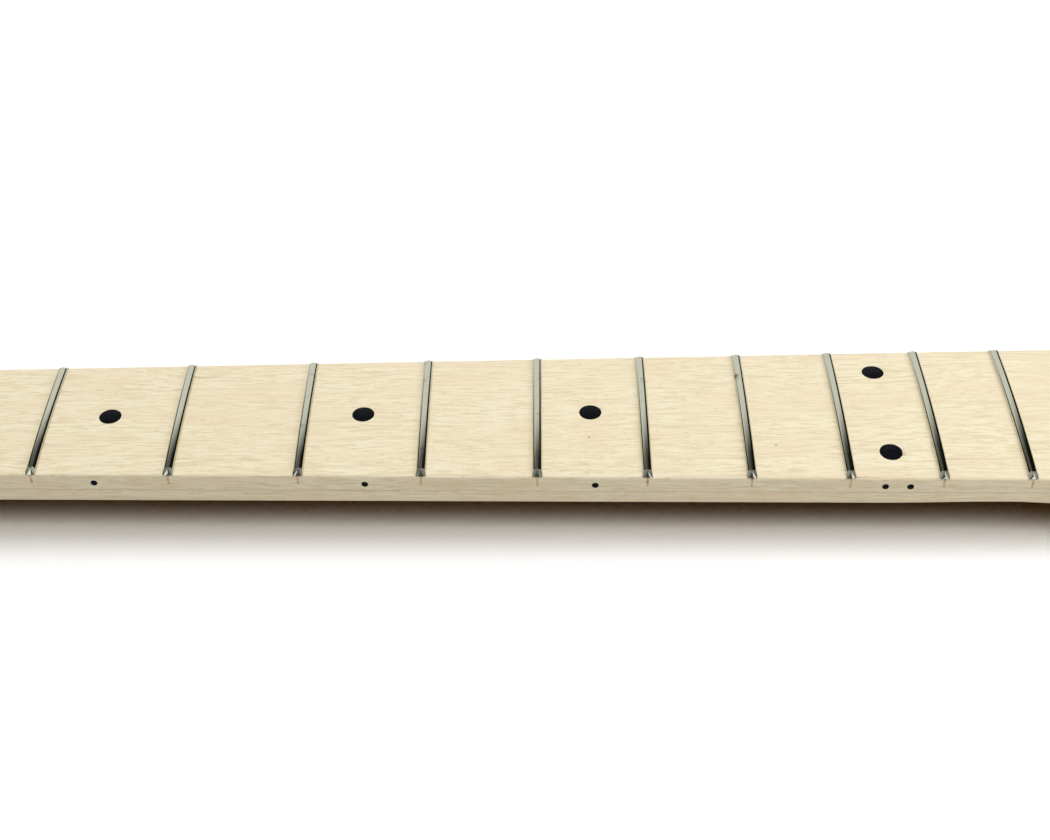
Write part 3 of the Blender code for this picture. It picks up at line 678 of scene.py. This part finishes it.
CAMERA_TURN = (radians(49.30346), radians(0.84846), radians(0.21875))
CAMERA_LENS = 59.911
CAMERA_SENSOR = 36.0
CAMERA_REACH = (0.01, 50.0)

# Bright white paper. Seen directly it carries a painted shadow: its colour turns from white to warm
# brown where little of the sky reaches it, and it throws a plain white back on the neck.
table_paper = bpy.data.materials.new("white paper")
table_paper.use_nodes = True
tree = table_paper.node_tree
tree.nodes.remove(tree.nodes["Principled BSDF"])
camera_ray = add(tree, "ShaderNodeLightPath").outputs["Is Camera Ray"]
open_sky = add(
    tree,
    "ShaderNodeAmbientOcclusion",
    {"Distance": SHADOW_REACH},
    samples=SHADOW_SAMPLES,
).outputs["AO"]
clear = [TABLE_GAIN * channel for channel in linear(TABLE_WHITE)]
# Painted shadow: the colour the camera sees runs from the paper's white to warm brown as the occlusion
# round the neck grows.
painted_shadow_colour = blend(tree, between(tree, open_sky, SHADOW_DEEP, SHADOW_GONE), linear(TABLE_SHADOW_BROWN), clear)
bounced = add(tree, "ShaderNodeBsdfDiffuse", {"Color": linear(TABLE_BOUNCE)}).outputs[0]
looked_at = add(tree, "ShaderNodeBsdfDiffuse", {"Color": painted_shadow_colour}).outputs[0]
surface = add(tree, "ShaderNodeMixShader", {0: camera_ray, 1: bounced, 2: looked_at})
tree.links.new(surface.outputs[0], tree.nodes["Material Output"].inputs["Surface"])

table = bmesh.new()
bmesh.ops.create_circle(table, cap_ends=True, segments=TABLE_SIDES, radius=TABLE_RADIUS)
floor = add_piece("table", table, table_paper)

room = bpy.data.worlds.new("studio")
bpy.context.scene.world = room
room.use_nodes = True
tree = room.node_tree

# Each patch of the room has its strength and its soft edges. An edge is a part of the direction, the
# value of it where the patch has nothing yet and the value where it is full.
direction = add(tree, "ShaderNodeTexCoord").outputs["Generated"]
along, back, up = add(tree, "ShaderNodeSeparateXYZ", {0: direction}).outputs
aside = calculate(tree, "ABSOLUTE", calculate(tree, "ADD", along, WINDOW_SHIFT))
leaning = calculate(tree, "MULTIPLY_ADD", along, WALL_LEAN, back)
front_grey = between(tree, up, 0.66, 0.54, FRONT_DIM, FRONT_GREY)
patches = (
    (WALL_WHITE, (leaning, 0.63, 0.77), (along, -0.66, -0.50), (along, 0.47, 0.33)),
    (GLOW_WHITE, (back, 0.30, 0.50), (along, 0.25, -0.05), (along, -0.50, -0.38)),
    (SIDE_WHITE, (up, 0.20, 0.40), (aside, 0.20, 0.28), (back, -0.05, -0.25)),
    (END_GREY, (up, 0.12, 0.28), (aside, 0.68, 0.80), (back, 0.60, 0.50)),
    (WINDOW_WHITE, (up, 0.52, 0.62), (aside, 0.20, 0.26), (aside, 0.46, 0.36), (back, -0.35, -0.50)),
    (front_grey, (back, -0.05, -0.30)),
)
light = between(tree, up, 0.86, 0.94, ROOM_DARK, OVERHEAD_WHITE)
for patch, *edges in patches:
    for direction_part, none_at, full_at in edges:
        inside = between(tree, direction_part, none_at, full_at)
        patch = calculate(tree, "MULTIPLY", patch, inside)
    light = calculate(tree, "MAXIMUM", light, patch)
camera_ray = add(tree, "ShaderNodeLightPath").outputs["Is Camera Ray"]
shown = add(tree, "ShaderNodeMix", {0: camera_ray, 2: light, 3: 1.0}).outputs[0]
tree.links.new(shown, tree.nodes["Background"].inputs["Strength"])
tree.nodes["Background"].inputs["Color"].default_value = (1.0, 1.0, 1.0, 1.0)

lamp_data = bpy.data.lights.new("overhead_lamp", "SUN")
lamp_data.energy = LAMP_STRENGTH
lamp_data.angle = LAMP_WIDTH
lamp = bpy.data.objects.new("overhead_lamp", lamp_data)
lamp.location = LAMP_PLACE
lamp.rotation_euler = (-LAMP_BEHIND, 0.0, 0.0)
lamp.visible_glossy = False
bpy.context.scene.collection.objects.link(lamp)

side_lamp_data = bpy.data.lights.new("side_lamp", "AREA")
side_lamp_data.energy = SIDE_LAMP_WATTS
side_lamp_data.size = SIDE_LAMP_SIZE
side_lamp = bpy.data.objects.new("side_lamp", side_lamp_data)
side_lamp.location = SIDE_LAMP_PLACE
side_lamp.rotation_euler = Vector(SIDE_LAMP_PLACE).to_track_quat("Z", "Y").to_euler()
side_lamp.visible_glossy = False
bpy.context.scene.collection.objects.link(side_lamp)

camera_data = bpy.data.cameras.new("camera")
camera_data.sensor_fit = "HORIZONTAL"
camera_data.sensor_width = CAMERA_SENSOR
camera_data.lens = CAMERA_LENS
camera_data.clip_start, camera_data.clip_end = CAMERA_REACH
camera = bpy.data.objects.new("camera", camera_data)
camera.location = CAMERA_PLACE
camera.rotation_euler = Euler(CAMERA_TURN)
bpy.context.scene.collection.objects.link(camera)
bpy.context.scene.camera = camera
bpy.context.scene.view_settings.view_transform = "Standard"
